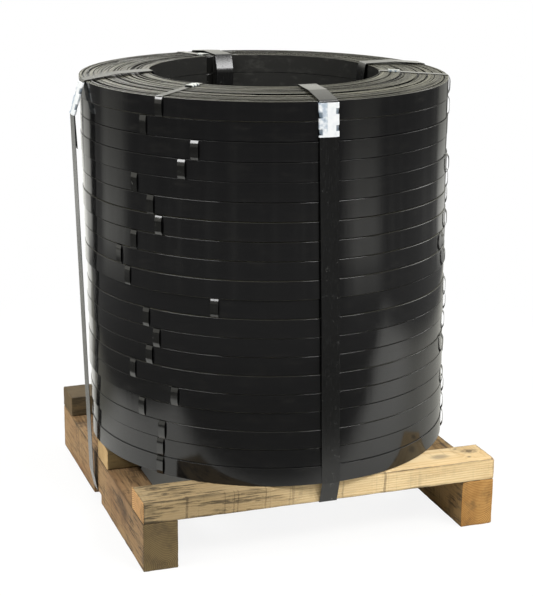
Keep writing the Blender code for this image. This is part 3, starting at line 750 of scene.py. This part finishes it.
def timber(name, looks):  # sawn softwood: rings round a pith line, fibres, saw marks, knots, dirt
    made, b, place = newMaterial(name)
    x, y, z = b.split(place)
    along, across = (x, y) if looks["along"] == "x" else (y, x)
    wander, waver, fibre, coarse, blotch, grime, saw, nick, sway = (
        b.noise(b.xyz(along * long_, across * wide, z * tall), 1.0, detail, rough)
        for long_, wide, tall, detail, rough in grain.values())
    wander = wander - 0.5
    offA = across - looks["pith"][0] + wander * looks["wander"]
    offB = z - looks["pith"][1] + wander * looks["wander"] * 0.7
    knotCore, knotRim, swell = 0.0, 0.0, 0.0
    for knotX, knotY, knotZ, long_, wide in looks["knots"]:
        gap = spread((along - knotX) / long_, (across - knotY) / wide, (z - knotZ) / wood["knotDeep"])
        ragged = gap + (b.noise(place, 150.0, 3.0) - 0.5) * 1.0
        knotCore = b.between(ragged, 0.42, 0.80, 1.0, 0.0).atLeast(knotCore)
        knotRim = (b.near(ragged, 0.85, 0.05, 0.35) * 0.45).atLeast(knotRim)
        swell = b.between(gap, 0.6, 3.2, 1.0, 0.0).atLeast(swell)
    ring = ((spread(offA, offB) + swell * wood["swell"]) * looks["rings"] + waver * 0.8).maths("FRACT")
    late = b.between(ring, 0.45, 0.92) * b.between(ring, 0.93, 1.0, 1.0, 0.0)
    stain = b.between(along + wander * 0.05, *looks["stain"])  # 0 darker and duller, 1 lighter, along the timber
    scribble = b.between(coarse, 0.50, 0.60) * b.between(grime, 0.36, 0.54) * (1.0 - stain * 0.92)
    cut = b.between(nick, 0.72, 0.79) * looks["nicks"]
    swayed = along + (sway - 0.5) * wood["sway"]
    for spot, thick, depth in looks["cuts"]:
        line = b.near(swayed, spot, thick, thick * 1.5) * depth
        cut = (line * b.between(coarse, 0.25, 0.55, 0.35, 1.0)).atLeast(cut)
    if looks["cuts"]:
        cut = cut * b.between(across, looks["cutFace"] + 0.003, looks["cutFace"] + 0.008, 1.0, 0.15)
    marks = [  # how much of which colour lies over those before it
        (late * looks["ringDepth"], looks["dark"]),
        (b.between(fibre, 0.42, 0.75) * 0.35, looks["dark"]),
        (b.between(blotch, 0.40, 0.66) * looks["blotch"], looks["tint"]),
        ((1.0 - stain) * 0.8, looks["dull"]),
        (scribble * looks["scribble"], looks["dirt"]),
        (b.between(grime, 0.53, 0.72) * looks["grime"] * (1.0 - stain * 0.7), looks["dirt"]),
        (b.between(b.stored("edgeWear") * 0.5 + grime * 0.5, 0.56, 0.78) * looks["wear"], looks["dirt"]),
        (b.between(saw * 0.5 + grime * 0.5, 0.52, 0.66) * looks["saw"] * 0.6, looks["dirt"]),
        (cut * 0.75, wood["cut"]),
    ]
    if looks["knots"]:
        marks.append((knotRim.atLeast(knotCore * 0.8) * 0.9, wood["knot"]))
    for spotX, spotY, long_, wide in looks["smudges"]:
        far = spread((along - spotX) / long_, (across - spotY) / wide) + (grime - 0.5) * 1.4
        marks.append((b.between(far, 0.3, 1.1, 1.0, 0.0) * 0.55, wood["smudge"]))
    endMiddle, endReach = looks["endAt"]
    atEnd = b.between((along - endMiddle).maths("ABSOLUTE"), *(endReach - skin for skin in wood["endSkin"]))
    endGrain = b.blend(late + b.between(blotch, 0.4, 0.65) * 0.5, looks["endPale"], looks["endDark"])
    marks.append((atEnd, b.blend(b.between(grime, 0.5, 0.7) * 0.5, endGrain, looks["dirt"])))
    colour = looks["pale"]
    for amount, shade in marks:
        colour = b.blend(amount, colour, shade)
    height = fibre * 0.5 + late * 0.35 + saw * looks["saw"] - cut * 1.2 - scribble * 0.3
    finishMaterial(b, colour, wood["gloss"] + fibre * 0.15, height, wood)
    return made


def sawnTree(kind, sides):  # bearers lie along Y and are notched underneath
    b, pick = shapeTree("sawnTimber", {
        "Float": ("Wane", "Seed"), "Vector": ("Centre",), "Material": ("Finish",)})
    cells = dict(zip(("Vertices X", "Vertices Y", "Vertices Z"), wood[kind + "Cells"]))
    block = b.node("MeshCube", {"Size": (2.0, 2.0, 2.0), **cells})
    u, v, w = b.split(b.node("InputPosition"))
    halves = [pallet[side] / 2 for side in sides]

    def crowded(t, power):  # rows of points gather at the edges
        return t.maths("SIGN") * (1.0 - (1.0 - t.maths("ABSOLUTE")) ** power)

    powers = (wood["crowdAlong"], wood["crowdAcross"], wood["crowdAcross"])
    spots = [crowded(t, power) * half for t, power, half in zip((u, v, w), powers, halves)]
    along, across, up = spots
    wobble = b.noise(b.xyz(along * 16.0, v * 1.5, w * 1.5 + pick("Seed")), 1.0, 3.0, 0.6)
    frontTop = b.between(w - v, 1.2, 1.8)  # the bark side of the log, along one edge
    wane = pick("Wane") * frontTop * b.between(wobble, 0.42, 0.66)
    corner = b.between(wobble, 0.3, 0.7, 0.5, 1.8) * wood["edge"] + wane
    jitter = b.noise(b.xyz(along * 60.0, across * 120.0, up * 120.0 + pick("Seed")), 1.0, 3.0, 0.6)
    cores = [spot.maths("SIGN") * spot.maths("ABSOLUTE").atMost(half - corner)
             for spot, half in zip(spots, halves)]
    offs = [spot - core for spot, core in zip(spots, cores)]
    rounding = corner / spread(*offs).atLeast(1e-6)
    moved = []
    for core, off, shake, half in zip(cores, offs, b.split(jitter.pick("Color")), halves):
        spot = core + off * rounding + (shake - 0.5) * wood["rough"]
        moved.append(spot.atMost(half).atLeast(-half))
    if kind == "bearer":
        moved = [moved[1] * -1.0, moved[0], moved[2]]
    p, q, r = (half - spot.maths("ABSOLUTE") for half, spot in zip(halves, spots))  # depth below each face
    toEdge = p.atLeast(q).atMost(q.atLeast(r)).atMost(p.atLeast(r))
    block = b.keep(block, "edgeWear", b.between(toEdge, 0.0, wood["worn"], 1.0, 0.0, "LINEAR"))
    shaped = b.moved(block, *moved, pick("Centre"))
    if kind == "bearer":
        size = (pallet["bearerWidth"] + 0.02, pallet["notchWidth"], 2 * pallet["notchDepth"])
        cutter = b.node("MeshCube", {"Size": size})
        middle = b.xyz(b.split(pick("Centre"))[0], pallet["notchY"], 0.0)
        cutter = b.node("Transform", {"Geometry": cutter, "Translation": middle})
        meshes = {"Mesh 1": shaped, "Mesh 2": cutter}
        shaped = b.node("MeshBoolean", meshes, operation="DIFFERENCE", solver="EXACT")
    b.node("NodeGroupOutput", (b.finish(shaped, pick("Finish"), wood["sharp"]),))
    return b.tree


deckLooks = dict(
    along="x", pith=(-0.268, 0.055), wander=0.012, rings=300.0, ringDepth=0.5,
    pale=rgb(228, 204, 160), dark=rgb(188, 150, 96), tint=rgb(204, 172, 122), blotch=0.6,
    dull=rgb(130, 112, 82), dirt=rgb(72, 62, 46), grime=0.5, scribble=0.95, wear=0.75,
    nicks=0.4, saw=0.25, stain=(-0.22, 0.14), cuts=(), smudges=(), knots=(),
    endAt=(pallet["shiftX"], pallet["length"] / 2), endPale=rgb(198, 154, 102), endDark=rgb(150, 108, 66),
)
frontLooks = dict(
    deckLooks, smudges=((0.240, -0.273, 0.022, 0.012),), cutFace=-0.311,
    # along, across, up, half length, half width
    knots=((-0.2786, -0.2551, 0.123, 0.013, 0.0095), (-0.2658, -0.2838, 0.123, 0.0075, 0.005),
           (0.3018, -0.2648, 0.123, 0.013, 0.010), (0.2822, -0.2482, 0.123, 0.004, 0.003),
           (0.2897, -0.2900, 0.123, 0.004, 0.0035)),
    # along, half thickness, depth
    cuts=((-0.236, 0.0012, 0.8), (-0.170, 0.0007, 0.5), (-0.154, 0.0006, 0.6), (-0.147, 0.0007, 0.6),
          (-0.098, 0.0007, 0.5), (-0.055, 0.0008, 0.25), (0.0417, 0.0009, 0.5), (0.1196, 0.0012, 0.7)))
# painted shade: the middle and back boards are darker copies of the deck colours, as they lie under and
# behind the coils; the middle board's ends stay light
middleShadeLooks = dict(
    deckLooks, pale=rgb(158, 134, 94), tint=rgb(136, 112, 76), dull=rgb(96, 82, 54), stain=(-0.3, 0.1),
    endPale=rgb(202, 172, 124), endDark=rgb(164, 132, 88))
backShadeLooks = dict(
    deckLooks, pale=rgb(106, 90, 66), tint=rgb(92, 76, 54), dull=rgb(92, 80, 60), stain=(-0.2, 0.3),
    endPale=rgb(112, 94, 68), endDark=rgb(86, 70, 48))
leftLooks = dict(
    along="y", pith=(-0.276, 0.008), wander=0.010, rings=330.0, ringDepth=0.55,
    pale=rgb(194, 158, 114), dark=rgb(122, 86, 52), tint=rgb(140, 98, 64), blotch=0.9,
    dull=rgb(122, 100, 72), dirt=rgb(62, 50, 38), grime=0.8, scribble=0.95, wear=0.7,
    nicks=0.3, saw=0.9, stain=(-0.7, 0.9), cuts=(), smudges=(), knots=(),
    # painted shade: the left bearer's end grain is much darker than the right bearer's
    endAt=(pallet["shiftY"], pallet["depth"] / 2), endPale=rgb(108, 92, 62), endDark=rgb(74, 60, 38),
)
rightLooks = dict(
    leftLooks, pith=(0.300, -0.004), pale=rgb(204, 170, 118), dark=rgb(156, 120, 76), tint=rgb(178, 142, 94),
    dull=rgb(112, 92, 62), endPale=rgb(190, 146, 86), endDark=rgb(142, 98, 48))


rowOut = (pallet["depth"] - pallet["boardWidth"]) / 2
bearerOut = (pallet["length"] - pallet["bearerWidth"]) / 2
middleX, middleY = pallet["shiftX"], pallet["shiftY"]
sawn = {  # tree, height of the middle, material slot
    "board": (sawnTree("board", ("length", "boardWidth", "boardThick")), deckUnder + pallet["boardThick"] / 2,
              "deck_pine"),
    "bearer": (sawnTree("bearer", ("depth", "bearerWidth", "bearerHeight")), pallet["bearerHeight"] / 2,
               "bearer_pine"),
}
for node, x, y, looks, wane, seed in (
        ("deck_board_front", middleX, middleY - rowOut, frontLooks, wood["wane"], 1.7),
        ("deck_board_middle", middleX, pallet["middleY"], middleShadeLooks, 0.002, 5.2),
        ("deck_board_back", middleX, middleY + rowOut, backShadeLooks, 0.004, 9.4),
        ("bearer_left", middleX - bearerOut, middleY, leftLooks, 0.0, 3.3),
        ("bearer_right", middleX + bearerOut, middleY, rightLooks, 0.0, 7.9)):
    tree, up, slotName = sawn["board" if "board" in node else "bearer"]
    piece = grow("sawn" + node.title().replace("_", ""), tree, {
        "Wane": wane, "Seed": seed, "Centre": (x, y, up), "Finish": timber(node, looks)})
    declare(piece, slotName, node)
print("pallet sawn")

studio = dict(
    reach=9.0, paper=(0.84, 0.84, 0.81, 1.0), shade=(0.24, 0.235, 0.20, 1.0), toCamera=0.88,
    # the bare floor near the stack is darker as painted shade; bareFrom is where it turns to the plain bare
    # floor
    bare=(0.095, 0.095, 0.093, 1.0), shadedNearBare=(0.05, 0.05, 0.045, 1.0), underDeck=0.04, inGloss=0.05,
    paperLeft=-0.90, leftSlant=0.12, paperRight=1.30, paperFront=-0.64, frontSlant=0.27,
    softEdge=0.09, fade=(0.95, 1.35), bareFrom=(1.1, 1.5),
    # deckX, deckY: where the floor under the deck takes a painted shadow: middle, reach and fade
    deckX=(0.01, 0.24, 0.02), deckY=(0.16, 0.14, 0.02),
    # painted shade on the paper beside the object, seen only in reflections and bounced light: slant, how it
    # changes to the right and to the back
    shades=((0.21, (-0.36, -0.23, 1.0, 0.0), (0.2, 0.5, 0.0, 1.0)),
            (-0.6, (0.31, 0.44, 0.0, 1.0), (-0.65, -0.2, 0.0, 0.72))),
    # painted reflections: pale bands on the floor further off, seen only in reflections and bounced light:
    # bearing, half width and fade
    band=(0.72, 0.72, 0.69, 1.0), bandFrom=(1.7, 2.45), streaks=(0.45, 0.75),
    bands=((2.42, 0.08, 0.22), (-1.02, 0.12, 0.16), (-0.33, 0.08, 0.12), (0.95, 0.12, 0.15)),
    fill=0.36, tint=(1.0, 0.99, 0.90, 1.0), frontFall=0.62, frontFrom=(-0.35, 0.75),
)
white = (1.0, 1.0, 1.0, 1.0)


def floorFinish():  # white paper on the bare studio floor; a camera sees it white but for a faint shadow near the object and a painted shadow under the deck; painted shade and pale bands show only in reflections and bounced light
    made, b, place = newMaterial("paleFloor")
    x, y, _ = b.split(place)
    path = b.node("LightPath")
    seen = path.pick("Is Camera Ray")
    glossy = path.pick("Is Glossy Ray").atLeast(path.pick("Is Transmission Ray"))
    left, right, front, soft = (studio[k] for k in ("paperLeft", "paperRight", "paperFront", "softEdge"))
    sheet = (b.between(x - y * studio["leftSlant"], left - soft, left + soft)
             * b.between(x, right - soft * 2, right + soft * 2, 1.0, 0.0)
             * b.between(y + x * studio["frontSlant"], front - soft, front + soft))
    shade, band = 0.0, 0.0
    for slant, sideways, backwards in studio["shades"]:
        shade = (b.between(x + y * slant, *sideways) * b.between(y, *backwards)).atLeast(shade)
    away, bearing = spread(x, y), x.maths("ARCTAN2", y)
    for middle, wide, fade in studio["bands"]:
        band = b.near(bearing, middle, wide, fade).atLeast(band)
    # painted reflections: pale floor bands and streaks far off put lighter stripes into the coils'
    # reflections
    streaks = b.noise(b.xyz(bearing * 9.0, 0.0, 0.0), 1.0, 3.0, 0.7)
    band = (band * 0.9 + b.between(streaks, *studio["streaks"]) * 0.3) * b.between(away, *studio["bandFrom"])
    # painted shade: the bare floor is darker near the stack
    colour = b.blend(b.between(away, *studio["bareFrom"]), studio["shadedNearBare"], studio["bare"])
    colour = b.blend(band, colour, studio["band"])
    # painted shade on the paper, kept out of the camera's view
    paper = b.blend(shade * (1.0 - seen), studio["paper"], studio["shade"])
    colour = b.blend(sheet.atLeast(seen), colour, paper)
    # painted shadow: the floor under the deck takes the shade colour, and the camera sees it matt, not
    # glowing
    under = b.near(x, *studio["deckX"]) * b.near(y, *studio["deckY"])
    colour = b.blend(under * 0.8, colour, studio["shade"])
    faint = (1.0 - studio["toCamera"]) * b.between(away, *studio["fade"], 1.0, 0.0)
    share = seen * (1.0 - under * (1.0 - studio["underDeck"])) * (1.0 - faint)
    matt = b.node("BsdfDiffuse", {"Color": colour})
    glow = b.node("Emission", {"Color": white, "Strength": 1.0})
    mixed = b.node("MixShader", (share + glossy * studio["inGloss"], matt, glow))
    b.node("OutputMaterial", {"Surface": mixed})
    return made


sheet = bpy.data.meshes.new("floorSheet")
far = studio["reach"]
sheet.from_pydata([(-far, -far, 0), (far, -far, 0), (far, far, 0), (-far, far, 0)], [], [(0, 1, 2, 3)])
sheet.materials.append(floorFinish())
floor = bpy.data.objects.new("floorSheet", sheet)
scene.collection.objects.link(floor)

world = bpy.data.worlds.new("softStudio")
scene.world = world
world.use_nodes = True
b = Bench(world.node_tree)
dirY = b.split(b.node("TexCoord"))[1]
path = b.node("LightPath")
shown = path.pick("Is Camera Ray").atLeast(path.pick("Is Transmission Ray"))
glossy = path.pick("Is Glossy Ray")
mirror = 1.0 - b.between(dirY * -1.0, *studio["frontFrom"]) * studio["frontFall"]
level = studio["fill"] * (1.0 - shown - glossy).atLeast(0.0) + shown + glossy * mirror
tint = b.blend(shown, studio["tint"], white)
sky = b.node("Background", {"Color": tint, "Strength": level})
b.node("OutputWorld", {"Surface": sky})

lamps = {  # place, aim, size, watts
    "keySoftbox": ((1.25, -2.15, 2.6), (0, 0, 0.5), (2.0, 0.8), 100),
    "leftSoftbox": ((-2.35, -0.85, 2.3), (0, 0, 0.5), (2.0, 0.8), 66),
    "topSoftbox": ((0.0, 0.3, 3.0), (0, 0, 0.4), (2.0, 2.0), 22),
    "rightSoftbox": ((2.8, 0.4, 1.8), (0.4, 0, 0.2), (1.0, 1.6), 30),
    "backSoftbox": ((-0.1, 3.3, 3.2), (-0.2, 2.1, 0.0), (1.2, 1.0), 85),
}
for name, (place, aim, size, watts) in lamps.items():
    data = bpy.data.lights.new(name, "AREA")
    data.shape = "RECTANGLE"
    data.size, data.size_y = size
    data.energy = watts
    lamp = bpy.data.objects.new(name, data)
    lamp.location = place
    lamp.rotation_euler = (Vector(aim) - Vector(place)).to_track_quat("-Z", "Y").to_euler()
    lamp.visible_camera = False
    scene.collection.objects.link(lamp)

# degrees; the focal length is in pixels, the sensor as wide as the picture's long side
cameraSet = dict(
    place=(-0.9158, -2.6283, 1.1609), yaw=19.391, pitch=-16.037, roll=0.532, focal=1579.3,
    longSide=596, sensor=36.0,
)
yaw, pitch, roll = (math.radians(cameraSet[k]) for k in ("yaw", "pitch", "roll"))
turned = (Matrix.Rotation(-yaw, 4, "Z") @ Matrix.Rotation(math.pi / 2 + pitch, 4, "X")
          @ Matrix.Rotation(roll, 4, "Z"))
cameraData = bpy.data.cameras.new("productCamera")
cameraData.sensor_width = cameraSet["sensor"]
cameraData.lens = cameraSet["focal"] / cameraSet["longSide"] * cameraSet["sensor"]
camera = bpy.data.objects.new("productCamera", cameraData)
camera.matrix_world = Matrix.Translation(cameraSet["place"]) @ turned
scene.collection.objects.link(camera)
scene.camera = camera
scene.view_settings.view_transform = "Standard"
print("studio lit")
